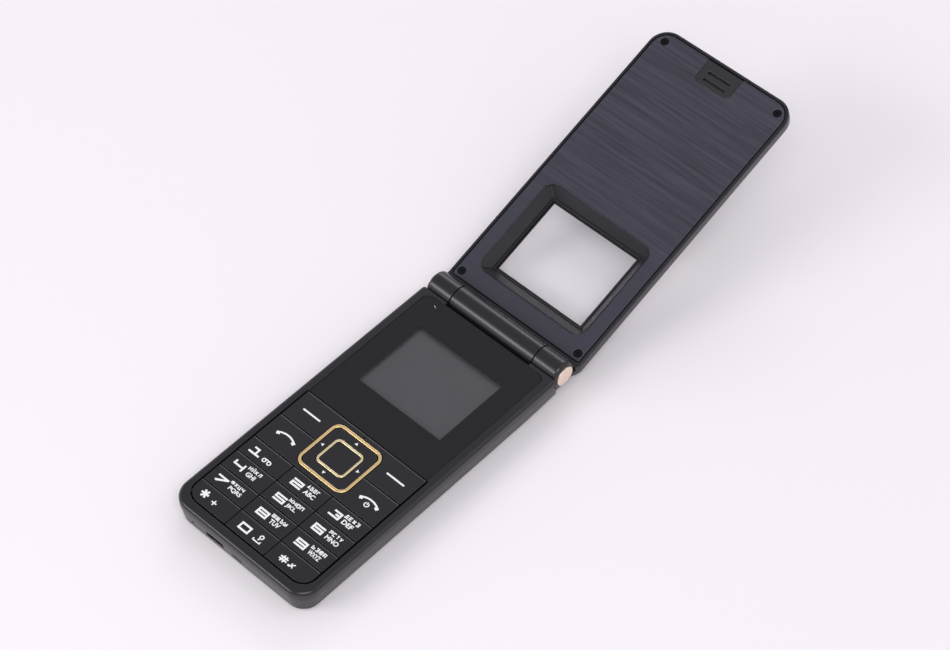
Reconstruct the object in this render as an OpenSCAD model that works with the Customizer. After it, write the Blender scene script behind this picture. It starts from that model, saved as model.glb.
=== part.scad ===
// Clamshell mobile phone with large keys and a see-through window in its lid, shown open.
// Millimetres. X runs across the phone, +Y from the keys towards the lid, +Z up.
// The origin is the middle of the base's footprint, on the surface that the phone lies on.

/* [Base] */
// Width of the base
base_w = 57.2; // [54:0.1:72]
// Length of the base, from its front end to the back of the hinge barrels
base_l = 120.6; // [116:0.1:150]
// Thickness of the base
base_h = 10.2; // [10.2:0.1:14]
// Radius of the front corners, seen from above
corner_r = 7.0; // [5.5:0.1:9]
// Rounding of the lower edge
under_r = 1.8; // [1.2:0.1:2.4]
// Draft of the lower housing's sides, which lean in below the seam, in degrees
under_draft = 7; // [0:0.5:8]
// Rounding of the rim's outer edge
rim_r = 1.4; // [0.4:0.1:1.5]
// Thickness of the housing's walls
wall = 1.4; // [1.1:0.1:1.8]
// Depth of the seam between the two housings below the rim
seam_drop = 3.4; // [3.1:0.05:3.7]
// How far the lower housing is set back from the upper one's sides
seam_step = 0.2; // [0:0.05:0.3]
// How far in front of the hinge axis the underside starts to rise
heel_run = 30.0; // [24:0.5:36]

/* [Keys] */
// Width of the rim at each side of the keys
side_rim = 3.45; // [3:0.05:4.5]
// Width of the rim in front of the keys
front_rim = 3.95; // [3:0.05:5]
// Depth of a row of digit keys
row_h = 7.25; // [6:0.05:8.8]
// Depth of the row with the call and end keys
call_h = 11.4; // [11:0.05:14]
// Depth of the row with the selection keys
soft_h = 11.9; // [11.5:0.05:14.3]
// Width of the middle column of digit keys
column_w = 16.6; // [13.8:0.1:20]
// Gap between two keys
key_gap = 0.3; // [0.2:0.05:0.6]
// Thickness of a key cap
key_t = 1.3; // [1:0.05:1.6]
// Height of the key tops above the rim
key_proud = 0.1; // [0:0.05:0.2]
// How far a key goes down
key_travel = 0.35; // [0.2:0.05:0.4]
// Radius of a key's stem
stem_r = 1.3; // [0.8:0.1:1.6]

/* [Navigation key] */
// Width of the gold frame round the navigation key
nav_w = 20.5; // [18:0.1:22.5]
// Depth of the gold frame round the navigation key
nav_l = 19.6; // [17.5:0.1:21]
// Outer corner radius of that frame
nav_r = 3.4; // [2.5:0.1:4.5]
// Width of the frame's gold line
nav_line = 1.1; // [0.8:0.05:1.4]
// Width of the gold frame round the centre key
ok_w = 11.7; // [10:0.1:12.5]
// Depth of the gold frame round the centre key
ok_l = 11.0; // [9.5:0.1:11.8]
// Outer corner radius of that frame
ok_r = 2.0; // [1.2:0.1:2.6]
// Width of that frame's gold line
ok_line = 0.9; // [0.6:0.05:1.1]

/* [Display] */
// Width of the picture area
view_w = 35.0; // [28:0.1:38]
// Height of the picture area
view_h = 28.1; // [22:0.1:30]
// Distance from the hinge axis to the middle of the picture
view_back = 31.7; // [28:0.1:38]
// Thickness of the screen lens
lens_t = 1.0; // [0.8:0.1:1.2]
// Border of the display panel round its picture area
panel_border = 2.6; // [1.5:0.1:3.2]

/* [Hinge] */
// Radius of the hinge barrels
barrel_r = 4.9; // [4.6:0.05:5.4]
// Depth of the hinge axis below the rim
axis_drop = 2.4; // [2.1:0.1:2.8]
// Length of the lid's knuckle
knuckle_l = 35.0; // [30:0.5:38]
// Gap at each end of the lid's knuckle
knuckle_gap = 0.35; // [0.2:0.05:0.6]
// Radius of the bores in the knuckles
hinge_bore_r = 3.4; // [3.1:0.05:3.6]
// Radius of the gold end caps
cap_r = 3.5; // [3.3:0.05:3.6]
// Angle between the base and the lid on the open stop
open_angle = 161; // [120:1:165]
// Running clearance of the hinge's pins, on the radius
fit = 0.05; // [0.02:0.01:0.08]

/* [Lid] */
// Width of the lid
lid_w = 56.9; // [54:0.1:72]
// Thickness of the lid
lid_t = 6.05; // [5.8:0.05:7.3]
// Radius of the corners at the lid's free end
lid_corner_r = 7.0; // [5.5:0.1:9]
// Rounding of the lid's outer edge
lid_under_r = 3.4; // [2:0.1:4]
// Thickness of the lid shell's walls
lid_wall = 1.1; // [0.9:0.1:1.3]
// Thickness of the inner panel
panel_t = 1.2; // [1:0.1:1.5]
// Groove between the inner panel and the shell's rim
groove = 0.3; // [0.2:0.05:0.5]
// Gap between the closed lid and the base
closed_gap = 0.6; // [0.5:0.05:0.9]

/* [Lid window] */
// Visible black border inside the window well
well_border = 0.8; // [0.4:0.05:1.2]
// Step between the border and the foot of the well's slope
well_step = 0.55; // [0.3:0.05:0.7]
// Width of the well's slope
well_slope = 3.2; // [2.5:0.05:3.5]
// Depth of the well's slope
well_depth = 3.6; // [2.8:0.1:3.6]
// Thickness of the window pane
pane_t = 1.3; // [1:0.1:1.4]

/* [Inside] */
// Width of the battery
battery_w = 35.0; // [30:0.5:37]
// Length of the battery
battery_l = 50.0; // [42:0.5:52]
// Thickness of the battery
battery_t = 3.85; // [3.2:0.05:3.9]
// Thickness of the battery cover
cover_t = 1.1; // [0.9:0.05:1.3]
// Thickness of the main board
board_t = 0.9; // [0.8:0.1:1.1]
// Width of the charging port
port_w = 7.2; // [7:0.1:9]
// Height of the charging port
port_h = 2.2; // [2.1:0.1:2.7]

/* [Hidden] */

$fn = 64;
seat = 0.05;        // clearance between two pieces that sit on each other
slack = 0.1;        // clearance round a piece dropped into a pocket
past = 1;           // how far a cut runs past the face it opens

body_black = "#38373d";
key_black = "#36353c";
gold = "#e9be7a";
steel = "#b9bcc0";
board_green = "#1f5a3a";
silicone = "#4a4a50";
flex_amber = "#b8742a";

// Levels in the base, from the underside up
floor_t = 1.1;                                  // rear housing's floor above the battery cover
parting_z = cover_t + 0.5;                      // where the battery cover's edge meets the housing
floor_z = parting_z + floor_t;
seam_z = base_h - seam_drop;
deck_t = 1.6;
deck_z = base_h - deck_t;                       // underside of the deck
ledge_z = deck_z - 0.7;                         // underside of the ledge round the keys
lens_sink = 0.1;
lens_z = base_h - lens_sink - lens_t;           // underside of the screen lens
key_z = base_h + key_proud - key_t;             // underside of the key caps
stack_h = 3.2;
board_top = base_h - stack_h;
board_z = board_top - board_t;
dome_t = 0.1;
dome_h = 0.2;
stem_z = board_top + seat + dome_t + dome_h + key_travel + seat;
mat_t = 0.4;
mat_z = key_z - key_travel - 0.2 - mat_t;
battery_z = cover_t + slack;
bay_z = battery_z + battery_t + 0.15;           // ceiling of the battery bay
bay_roof = 0.6;

// Places along the base
front_y = -base_l / 2;
axis_y = base_l / 2 - barrel_r;
axis_z = base_h - axis_drop;
heel_y = axis_y - heel_run;
heel_a = atan2(axis_z, heel_run) - asin(barrel_r / norm([heel_run, axis_z]));
body_end_y = axis_y - barrel_r + 0.1;           // where the deck meets the outer barrels
lower_reach = 1.0;                              // how much longer the lower housing's sides are
notch_y = axis_y - barrel_r - 1.0;              // front wall of the recess for the lid's knuckle
inside_end_y = notch_y - wall;
cover_end_y = heel_y - 0.3;
inside_x = base_w / 2 - wall;
key_w = base_w - 2 * side_rim;
key_corner_r = corner_r - 2.4;
key_front_y = front_y + front_rim;
row_edges = [for (i = [0:4]) key_front_y + i * row_h];
call_y = row_edges[4] + call_h;                 // edge between the call and selection rows
keys_end_y = call_y + soft_h;
lens_front_y = keys_end_y + key_gap / 2;
rear_rim = 0.45;
lens_end_y = notch_y - rear_rim;
view_y = axis_y - view_back;
key_groove = 0.6;
side_column_x = (key_w / 2 + column_w / 2) / 2;
wide_key_x = side_column_x + 1.1;               // stems of the selection, call and end keys
boss_r = 2.0;
boss_x = inside_x - boss_r - 0.2;
boss_ys = [front_y + 7, row_edges[4] + 17, heel_y - 4];
battery_front_y = front_y + 14;
battery_end_y = battery_front_y + battery_l;
bay_wall = 1.0;

// Hinge, along X from the middle
knuckle_in = knuckle_l / 2 + knuckle_gap;       // inner faces of the base's knuckles
barrel_out = base_w / 2 - 0.9;                  // outer ends of the base's knuckles
barrel_round = 1.3;
cap_t = 0.4;
cap_stem = 0.9;
pin_r = 1.0;
case_in_r = 2.6;
case_end = 1.0;
cam_l = 8.0;
slider_l = 2.5;
spring_wire_r = 0.3;
bush_bore_r = 2.4;
bush_end = 5.2;                                 // how far the bush stops short of the barrel's end
lead_t = 0.2;
lead_w = 1.6;

// Lid, measured from the hinge axis: Y along the lid, Z out of its inner face
lid_l = base_l - barrel_r;
face_w = -(axis_drop + closed_gap);
back_w = face_w - lid_t;
lid_heel = 1.2;
lid_heel_r = 5.0;
lid_rim_r = 0.5;
lid_in_x = lid_w / 2 - lid_wall;
panel_x = lid_in_x - groove;
panel_start = 6.6;
panel_r = 1.0;                                  // its corners beside the hinge
panel_end = lid_l - lid_wall - groove;
panel_back = face_w - panel_t;
cavity_w = back_w + lid_wall;
glass_w = face_w - 4.55;                        // inner face of the window pane
well_w = view_w + 2 * well_border;
well_l = view_h + 2 * well_border;
foot_w = well_w + 2 * well_step;
foot_l = well_l + 2 * well_step;
well_wall = 1.0;
pane_lip = 1.7;                                 // how far the pane reaches under the well's edge
screw_rows = [[8.9, lid_w / 2 - 3.5], [lid_l - 4.65, lid_w / 2 - 4.75]];
screw_sink = 0.25;
lead_x = -well_w / 2 - 3.7;                     // the lead passes between the well and the screw bosses
lead_z = glass_w + 1.9;                         // and over the ledge that the window pane lies against
lead_run_w = 1.0;                               // its width beside the well
ear_y = lid_l - 6.8;                            // middle of the earpiece slots
ear_slot_w = 9.0;
ear_patch_w = 14.4;

// 2D outline of a rectangle with round corners, centred
module round_rect(w, l, r) {
  square([w - 2 * r, l], center = true);
  square([w, l - 2 * r], center = true);
  for (x = [-1, 1], y = [-1, 1])
    translate([x * (w / 2 - r), y * (l / 2 - r)]) circle(r);
}

// 2D outline with its own corner radius at the near (low Y) and far (high Y) ends
module end_rect(half_w, y0, y1, r0, r1) {
  translate([-half_w, y0 + r0]) square([2 * half_w, y1 - y0 - r0 - r1]);
  translate([-half_w + r0, y0]) square([2 * (half_w - r0), 2 * r0]);
  translate([-half_w + r1, y1 - 2 * r1]) square([2 * (half_w - r1), 2 * r1]);
  for (x = [-1, 1]) {
    translate([x * (half_w - r0), y0 + r0]) circle(r0);
    translate([x * (half_w - r1), y1 - r1]) circle(r1);
  }
}

// 2D piece outside a rounding, for cutting an upper right corner at the origin
module corner_cut(r) {
  translate([-r, -r]) difference() {
    square(r + past);
    circle(r);
  }
}

// Children are drawn in the YZ plane and run along X
module along_x(x0, x1) {
  translate([x0, 0, 0]) rotate([90, 0, 90]) linear_extrude(x1 - x0) children();
}

// Children are drawn in the XZ plane and run along Y
module along_y(y0, y1) {
  translate([0, y1, 0]) rotate([90, 0, 0]) linear_extrude(y1 - y0) children();
}

module slab(z0, z1, y0 = front_y - past, y1 = axis_y + barrel_r) {
  translate([-base_w, y0, z0]) cube([2 * base_w, y1 - y0, z1 - z0]);
}

// A round rod along X
module rod_x(x0, x1, r) {
  translate([x0, 0, 0]) rotate([0, 90, 0]) cylinder(h = x1 - x0, r = r);
}

function rise(y) = max(0, y - heel_y) * tan(heel_a);

// ---- Base housings ----

module base_plan(reach) {
  difference() {
    end_rect(base_w / 2, front_y, body_end_y + reach, corner_r, 1.5);
    translate([-knuckle_in, notch_y]) square([2 * knuckle_in, 2 * barrel_r]);
  }
}

module base_inside(inset = 0) {
  end_rect(inside_x - inset, front_y + wall + inset, inside_end_y - inset, corner_r - wall, 1.5);
}

// Section of a slab from its middle (X = 0) to its edge, with its own rounding below and above.
// With a draft (degrees), the side leans in from draft_z down.
module edge_profile(w, z0, z1, r_low, r_high, draft, draft_z) {
  reach = r_low + past;
  foot_x = w - (draft_z - z0 - r_low) * tan(draft) - r_low / cos(draft);
  difference() {
    translate([0, z0]) square([w, z1 - z0]);
    if (draft > 0) translate([w, draft_z]) rotate(-draft) translate([0, z0 - z1]) square(z1 - z0);
    translate([foot_x, z0 + r_low]) difference() {
      polygon([[0, 0], [0, -reach], [reach, -reach], reach * [cos(draft), -sin(draft)]]);
      circle(r_low);
    }
    translate([w, z1]) corner_cut(r_high);
  }
}

// Half of a slab from Y = 0 to Y = l: its rounded edge runs right round the two corners at Y = 0
module rounded_end(w, l, r, z0, z1, r_low, r_high, draft = 0, draft_z = 0) {
  for (s = [0, 1]) mirror([s, 0, 0]) {
    translate([0, l, 0]) rotate([90, 0, 0]) linear_extrude(l - r)
      edge_profile(w / 2, z0, z1, r_low, r_high, draft, draft_z);
    translate([w / 2 - r, r, 0]) rotate([0, 0, -90]) rotate_extrude(angle = 90)
      edge_profile(r, z0, z1, r_low, r_high, draft, draft_z);
  }
  translate([-w / 2 + r, 0, 0]) rotate([90, 0, 90]) linear_extrude(w - 2 * r)
    translate([r, 0]) mirror([1, 0]) edge_profile(r, z0, z1, r_low, r_high, draft, draft_z);
}

// The base's outside, set back from its sides by an inset and longer beside the hinge by a reach
module base_outer(inset = 0, reach = 0) {
  intersection() {
    linear_extrude(base_h) base_plan(reach);
    along_x(-base_w / 2, base_w / 2)
      polygon([[front_y, 0], [heel_y, 0], [axis_y, rise(axis_y)], [axis_y, base_h], [front_y, base_h]]);
    translate([0, front_y + inset, 0])
      rounded_end(base_w - 2 * inset, axis_y - front_y - inset, corner_r - inset, 0, base_h, under_r, rim_r,
                  under_draft, seam_z);
  }
}

module boss_places() {
  for (x = [-boss_x, boss_x], y = boss_ys) translate([x, y, 0]) children();
}

// Field of the keys, widened by a margin, from the front to the screen lens
module key_field(margin) {
  end_rect(key_w / 2 + margin, key_front_y - margin, lens_front_y, key_corner_r + margin, 0.4);
}

module lens_outline(margin) {
  end_rect(key_w / 2 + margin, lens_front_y - margin, lens_end_y + margin, 0.8, 2.6);
}

module panel_outline(margin) {
  translate([0, view_y])
    square([view_w + 2 * (panel_border + margin), view_h + 2 * (panel_border + margin)], center = true);
}

// One outer knuckle of the base, with the block that ties it to the housing
module base_knuckle() {
  heel_tangent = [axis_y + barrel_r * sin(heel_a), axis_z - barrel_r * cos(heel_a)];
  block_y = notch_y + slack;
  translate([0, axis_y, axis_z]) rotate([0, 90, 0]) rotate_extrude() {
    translate([0, knuckle_in]) square([barrel_r, barrel_out - knuckle_in - barrel_round]);
    translate([0, knuckle_in]) square([barrel_r - barrel_round, barrel_out - knuckle_in]);
    translate([barrel_r - barrel_round, barrel_out - barrel_round]) circle(barrel_round);
  }
  along_x(knuckle_in, inside_x - slack)
    polygon([[block_y, rise(block_y)], heel_tangent, [axis_y, axis_z], [axis_y - 2, base_h - 1],
             [block_y, base_h - 1]]);
}

module front_housing() color(body_black) {
  difference() {
    union() {
      intersection() {
        base_outer();
        slab(seam_z, base_h);
      }
      base_knuckle();
      mirror([1, 0, 0]) base_knuckle();
    }
    translate([0, 0, seam_z - past]) linear_extrude(deck_z - seam_z + past) base_inside();
    translate([0, 0, deck_z - past]) linear_extrude(deck_t + 2 * past) key_field(key_groove);
    translate([0, 0, lens_z]) linear_extrude(base_h) lens_outline(slack);
    translate([0, 0, deck_z - past]) linear_extrude(deck_t) panel_outline(0.3);
    translate([0, axis_y, axis_z]) {
      rod_x(knuckle_in - past, base_w, hinge_bore_r);
      rod_x(-base_w, -knuckle_in + past, hinge_bore_r);
    }
    lead_slot();
  }
  ledge_l = keys_end_y + 3;
  difference() {
    union() {
      intersection() {
        translate([0, 0, ledge_z]) linear_extrude(deck_z - ledge_z) base_inside(-0.2);
        slab(0, base_h, front_y, ledge_l);
      }
      boss_places() translate([0, 0, board_top + seat])
        cylinder(h = deck_z + 0.2 - board_top - seat, r = boss_r);
    }
    translate([0, 0, ledge_z - past]) linear_extrude(deck_z)
      end_rect(key_w / 2 - 2.7, key_front_y + 2.3, keys_end_y - 0.5, 1, 1);
    translate([0, 0, deck_z - past]) linear_extrude(deck_t) key_field(key_groove);
    boss_places() translate([0, 0, board_z]) cylinder(h = deck_z - 0.2 - board_z, r = 0.7);
  }
}

// Passage of the lead from the main board into the left knuckle
module lead_slot() {
  translate([-barrel_out + 1.4, inside_end_y - past, board_top + 0.2])
    cube([3.4, axis_y - inside_end_y + past, 1.2]);
}

module port_place() {
  translate([-9.75, front_y + seam_step, floor_z + 0.15 + port_h / 2]) children();
}

// Frame of the sloping rear end of the underside: Z points into the base
module slope_frame(x, run) {
  translate([x, heel_y + run * cos(heel_a), run * sin(heel_a)]) rotate([heel_a, 0, 0]) children();
}

camera_x = 11;
camera_run = 12.5;
camera_tilt_t = 0.8;
speaker_x = -11;
speaker_run = 12.5;

module camera_outline(margin) {
  round_rect(17 + 2 * margin, 8.4 + 2 * margin, 4 + margin);
}

module rear_housing() color(body_black) difference() {
  union() {
    difference() {
      intersection() {
        base_outer(seam_step, lower_reach);
        union() {
          slab(parting_z, seam_z, front_y, cover_end_y + past);
          slab(0, seam_z, cover_end_y, axis_y);
        }
      }
      intersection() {
        linear_extrude(base_h) base_inside();
        along_x(-base_w, base_w)
          polygon([[front_y, floor_z], [heel_y, floor_z], [axis_y, floor_z + rise(axis_y)],
                   [axis_y, base_h], [front_y, base_h]]);
      }
      for (x = [-inside_x, knuckle_in - slack])
        translate([x, notch_y, -past]) cube([inside_x - knuckle_in + slack, 2 * barrel_r, base_h]);
      hinge_frame() rod_x(-base_w, base_w, barrel_r + slack);
    }
    translate([-battery_w / 2 - 0.4 - bay_wall, battery_front_y - 0.4 - bay_wall, parting_z])
      cube([battery_w + 2 * (0.4 + bay_wall), cover_end_y - battery_front_y + 1.4 + bay_wall,
            bay_z + bay_roof - parting_z]);
    boss_places() translate([0, 0, parting_z]) cylinder(h = board_z - seat - parting_z, r = boss_r);
  }
  // battery bay, with its openings to the board for the contacts and the card holder
  translate([-battery_w / 2 - 0.4, battery_front_y - 0.4, -past])
    cube([battery_w + 0.8, cover_end_y - battery_front_y - 0.6, bay_z + past]);
  translate([-8, battery_end_y + 0.3, bay_z - past]) cube([16, 3, bay_roof + 2 * past]);
  // screw holes and their counterbores
  boss_places() {
    translate([0, 0, -past]) cylinder(h = base_h, r = 0.9);
    translate([0, 0, -past]) cylinder(h = floor_z + past, r = 1.7);
  }
  port_place() translate([-port_w / 2, -past, -port_h / 2]) cube([port_w, wall + 3, port_h]);
  // microphone hole and the small slot beside the port
  translate([-19.3, front_y - past, 3.8]) rotate([-90, 0, 0]) cylinder(h = wall + 4, r = 0.5);
  translate([-2.3, front_y - past, floor_z + 0.1]) cube([3.9, wall + 3, 0.9]);
  slope_frame(speaker_x, speaker_run) for (i = [-2:2])
    translate([-4.5, i * 1.9 - 0.45, -past]) cube([9, 0.9, 2 * floor_z + past]);
  slope_frame(camera_x, camera_run) {
    translate([0, 0, -past]) linear_extrude(camera_tilt_t + past) camera_outline(slack);
    translate([-4, 0, -past]) cylinder(h = 2 * floor_z, r = 3.1);
    translate([4.6, 0, -past]) cylinder(h = 2 * floor_z, r = 1.9);
  }
  cover_tabs(slack);
  lead_slot();
}

module cover_tabs(margin) {
  for (x = [-16, 16])
    translate([x - 3 - margin, cover_end_y - 2, cover_t - 0.6])
      cube([6 + 2 * margin, 3.2 + margin, 0.6 + margin]);
}

module battery_cover() color(body_black) {
  difference() {
    intersection() {
      base_outer(seam_step);
      slab(0, parting_z - seat, front_y, cover_end_y - slack);
    }
    translate([0, 0, cover_t]) linear_extrude(parting_z)
      end_rect(base_w / 2 - 3.6, front_y + 3.6, cover_end_y - 1.2, corner_r - 3.4, 1);
  }
  cover_tabs(0);
}

// ---- Inside the base ----

module battery() color("#2d3f63") translate([0, battery_front_y + battery_l / 2, battery_z])
  linear_extrude(battery_t) round_rect(battery_w, battery_l, 1.6);

module battery_contacts() color(gold) translate([0, battery_end_y, battery_z + 0.8]) {
  translate([-6, 0.5, 0.4]) cube([12, 2.4, board_z - seat - battery_z - 1.2]);
  for (x = [-4, 0, 4]) translate([x - 0.6, 0.1, 0]) cube([1.2, 1.2, 1.6]);
}

module sim_holder() color(steel) {
  l = cover_end_y - battery_end_y - 6;
  translate([-8.5, battery_end_y + 4, bay_z - 1.3]) difference() {
    cube([17, l, 1.25]);
    translate([1, -past, 0.25]) cube([15, l, 0.8]);
  }
}

module main_board() color(board_green) translate([0, 0, board_z]) linear_extrude(board_t) difference() {
  base_inside(0.5);
  for (x = [-boss_x, boss_x], y = boss_ys) translate([x, y]) circle(boss_r + 0.4);
  translate([speaker_x, heel_y + speaker_run]) square([speaker_w + 1.4, speaker_l + 1.6], center = true);
}

module shield_cans() color(steel) {
  for (x = [-boss_x + 4, 6.5])
    translate([x, cover_end_y + 1.2, board_z - seat - 1.7]) difference() {
      cube([boss_x - 10.5, 5.2, 1.7]);
      translate([0.2, 0.2, 0.2]) cube([boss_x - 10.9, 4.8, 1.7]);
    }
}

stems = concat(
  [for (i = [0:3], x = [-side_column_x, 0, side_column_x]) [x, (row_edges[i] + row_edges[i + 1]) / 2]],
  [for (x = [-wide_key_x, wide_key_x]) [x, (row_edges[4] + call_y) / 2]],
  [for (x = [-wide_key_x, wide_key_x]) [x, (call_y + keys_end_y) / 2]]);
nav_foot_x = nav_w / 2 - 3.3;                    // feet of the rocker pad
nav_foot_y = nav_l / 2 - 2.6;                    // feet of the navigation key
nav_foot_r = 0.9;

module dome_sheet() color("#c9ccd0") translate([0, 0, board_top + seat]) {
  linear_extrude(dome_t) end_rect(key_w / 2 - 3.4, key_front_y + 0.6, keys_end_y - 1, 1, 1);
  for (p = stems) translate([p[0], p[1], 0]) cylinder(h = dome_t + dome_h, r = 2.3, $fn = 32);
  for (p = [[0, 0], [-nav_foot_x, 0], [nav_foot_x, 0], [0, -nav_foot_y], [0, nav_foot_y]])
    translate([p[0], call_y + p[1], 0]) cylinder(h = dome_t + dome_h, r = 2.0, $fn = 32);
}

module key_mat() color(silicone) translate([0, 0, mat_z]) linear_extrude(mat_t) difference() {
  end_rect(key_w / 2 - 3.0, key_front_y + 2.6, keys_end_y - 0.8, 1, 1);
  for (p = stems) translate(p) circle(stem_r + 0.6, $fn = 32);
  translate([0, call_y]) round_rect(nav_w - 2 * nav_line - 0.6, nav_l - 2 * nav_line - 0.6, nav_r - nav_line);
}

module screen_lens() color("#222127") translate([0, 0, lens_z]) linear_extrude(lens_t) lens_outline(0);

module display_panel() color("#504f54") translate([0, 0, lens_z - seat - 0.9])
  linear_extrude(0.9) panel_outline(0);

module backlight() color("#e8e8e2") translate([0, 0, board_top + seat]) linear_extrude(
  lens_z - 0.9 - 2 * seat - board_top - seat) panel_outline(0.9);

speaker_w = 15;
speaker_l = 11;

module loudspeaker() color("#55565a") slope_frame(speaker_x, speaker_run) translate([0, 0, floor_z + 0.1]) {
  linear_extrude(1.9) round_rect(speaker_w, speaker_l, 3);
  translate([0, 0, 1.9]) linear_extrude(0.4) round_rect(8, 6, 2);
}

module microphone() color(steel) translate([-19.3, front_y + 5, board_z - seat - 1.6])
  cylinder(h = 1.6, r = 2);

module vibration_motor() color(steel) translate([-inside_x + 4.2, row_edges[3] + 2, floor_z + 1.75])
  rotate([-90, 0, 0]) {
    cylinder(h = 7.5, r = 1.65);
    translate([0, 0, 7.4]) cylinder(h = 1.2, r = 0.4);
    translate([0, 0, 8.1]) intersection() {
      cylinder(h = 2.4, r = 1.6);
      translate([-2, 0, 0]) cube([4, 2, 3]);
    }
  }

module charging_socket() color(steel) port_place() translate([0, 0.7, 0]) {
  difference() {
    translate([-port_w / 2 + 0.1, 0, -port_h / 2 + 0.1]) cube([port_w - 0.2, 5.6, port_h - 0.2]);
    translate([-port_w / 2 + 0.45, -past, -port_h / 2 + 0.45]) cube([port_w - 0.9, 5.6, port_h - 0.9]);
  }
  translate([-port_w / 2 + 1.6, 1.2, -0.3]) cube([port_w - 3.2, 4, 0.6]);
  // legs up to the board
  for (x = [-port_w / 2 + 0.1, port_w / 2 - 0.9])
    translate([x, 4.2, port_h / 2 - 0.2]) cube([0.8, 1.4, board_z - floor_z - port_h]);
}

module antenna() color(gold) translate([4, front_y + 2, floor_z + 0.1]) {
  cube([inside_x - 12, 5, 0.4]);
  cube([inside_x - 12, 0.4, board_z - floor_z - 0.6]);
}

module camera_module() color("#202024") slope_frame(camera_x - 4, camera_run) {
  translate([0, 0, camera_tilt_t + 0.1]) cylinder(h = floor_z - camera_tilt_t, r = 3);
  translate([-3.6, -3.6, floor_z + 0.05]) cube([7.2, 7.2, 1.2]);
}

module torch_lamp() color("#f3efdc") slope_frame(camera_x + 4.6, camera_run) {
  translate([0, 0, camera_tilt_t + 0.1]) cylinder(h = 1.4, r = 1.7);
  translate([-1.3, -1.3, camera_tilt_t + 1.4]) cube([2.6, 2.6, 1.4]);
}

module camera_window() color("#18181c") slope_frame(camera_x, camera_run)
  linear_extrude(camera_tilt_t) camera_outline(0);

module housing_screws() color(steel) boss_places() {
  translate([0, 0, floor_z - 0.9]) difference() {
    cylinder(h = 0.9, r = 1.5);
    for (a = [0, 90]) rotate([0, 0, a]) translate([-0.8, -0.15, -0.5]) cube([1.6, 0.3, 1]);
  }
  translate([0, 0, floor_z - 0.1]) cylinder(h = deck_z - 0.4 - floor_z + 0.1, r = 0.65);
}

// ---- Hinge ----

module hinge_frame() {
  translate([0, axis_y, axis_z]) children();
}

module hinge_case() color(steel) hinge_frame() difference() {
  rod_x(knuckle_in + 0.1, barrel_out - cap_stem - 0.3, hinge_bore_r - fit);
  rod_x(knuckle_in - past, barrel_out - cap_stem - 0.3 - case_end, case_in_r);
  rod_x(0, base_w, pin_r + fit);
}

slider_x = knuckle_in + 0.7;
spring_x = slider_x + slider_l + 0.1;
spring_l = barrel_out - cap_stem - 0.3 - case_end - 0.1 - spring_x;

module hinge_slider() color(steel) hinge_frame() difference() {
  rod_x(slider_x, slider_x + slider_l, case_in_r - fit);
  rod_x(0, base_w, pin_r + fit);
}

// The spring is one wire of six sides, swept along a helix whose ends meet the slider and the case
spring_turns = 4;
spring_steps = 20;
spring_r = (case_in_r + pin_r) / 2 + 0.05;

module hinge_spring() color(steel) hinge_frame() {
  n = spring_turns * spring_steps;
  climb = spring_l - 2 * spring_wire_r;
  pts = [for (i = [0:n], k = [0:5]) let (
      a = 360 * i / spring_steps, b = 60 * k, r = spring_r + spring_wire_r * cos(b))
    [spring_x + spring_wire_r + climb * i / n + spring_wire_r * sin(b), r * cos(a), r * sin(a)]];
  sides = [for (i = [0:n - 1], k = [0:5]) let (p = 6 * i + k, q = 6 * i + (k + 1) % 6)
    each [[p, q, q + 6], [p, q + 6, p + 6]]];
  ends = [for (k = [1:4]) each [[0, k + 1, k], [6 * n, 6 * n + k, 6 * n + k + 1]]];
  polyhedron(pts, concat(sides, ends));
}

module hinge_bush() color(steel) hinge_frame() difference() {
  rod_x(-barrel_out + bush_end, -knuckle_l / 2 + 7.5, hinge_bore_r - fit);
  rod_x(-base_w, 0, bush_bore_r);
}

module hinge_caps() color(gold) hinge_frame() for (s = [0, 1]) mirror([s, 0, 0]) {
  rod_x(barrel_out, barrel_out + cap_t, cap_r);
  rod_x(barrel_out - cap_stem, barrel_out + cap_t / 2, hinge_bore_r - fit);
}

module base_lead() color(flex_amber)
  translate([-barrel_out + 1.7, inside_end_y - 3, board_top + 0.6])
    cube([2.8, axis_y - inside_end_y + 3.5, lead_t]);

// ---- Keys ----

module key_shape(x0, x1, y0, y1) {
  intersection() {
    translate([x0, y0]) square([x1 - x0, y1 - y0]);
    key_field(0);
  }
}

// A key cap on its stem: x0..x1 and y0..y1 are the edges of its cell
module key_cell(x0, x1, y0, y1, sx) {
  half = key_gap / 2;
  translate([0, 0, key_z]) linear_extrude(key_t) difference() {
    key_shape(x0 + half, x1 - half, y0 + half, y1 - half);
    translate([0, call_y]) round_rect(nav_w + 0.5, nav_l + 0.5, nav_r + 0.25);
  }
  translate([sx, (y0 + y1) / 2, stem_z]) cylinder(h = key_z - stem_z + 0.1, r = stem_r, $fn = 32);
}

// Digit key in column c (-1, 0, 1) and row r, counted from the front
module digit_key(c, r) color(key_black) {
  half_c = column_w / 2;
  outer = key_w / 2 + key_gap / 2;
  x0 = c < 0 ? -outer : c > 0 ? half_c : -half_c;
  x1 = c < 0 ? -half_c : c > 0 ? outer : half_c;
  front = r == 0 ? row_edges[0] - key_gap / 2 : row_edges[r];
  key_cell(x0, x1, front, row_edges[r + 1], c * side_column_x);
}

module wide_key(s, y0, y1) color(key_black) {
  outer = key_w / 2 + key_gap / 2;
  inner = 0.08 - key_gap / 2;
  if (s < 0) key_cell(-outer, -inner, y0, y1, -wide_key_x);
  else key_cell(inner, outer, y0, y1, wide_key_x);
}

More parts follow.
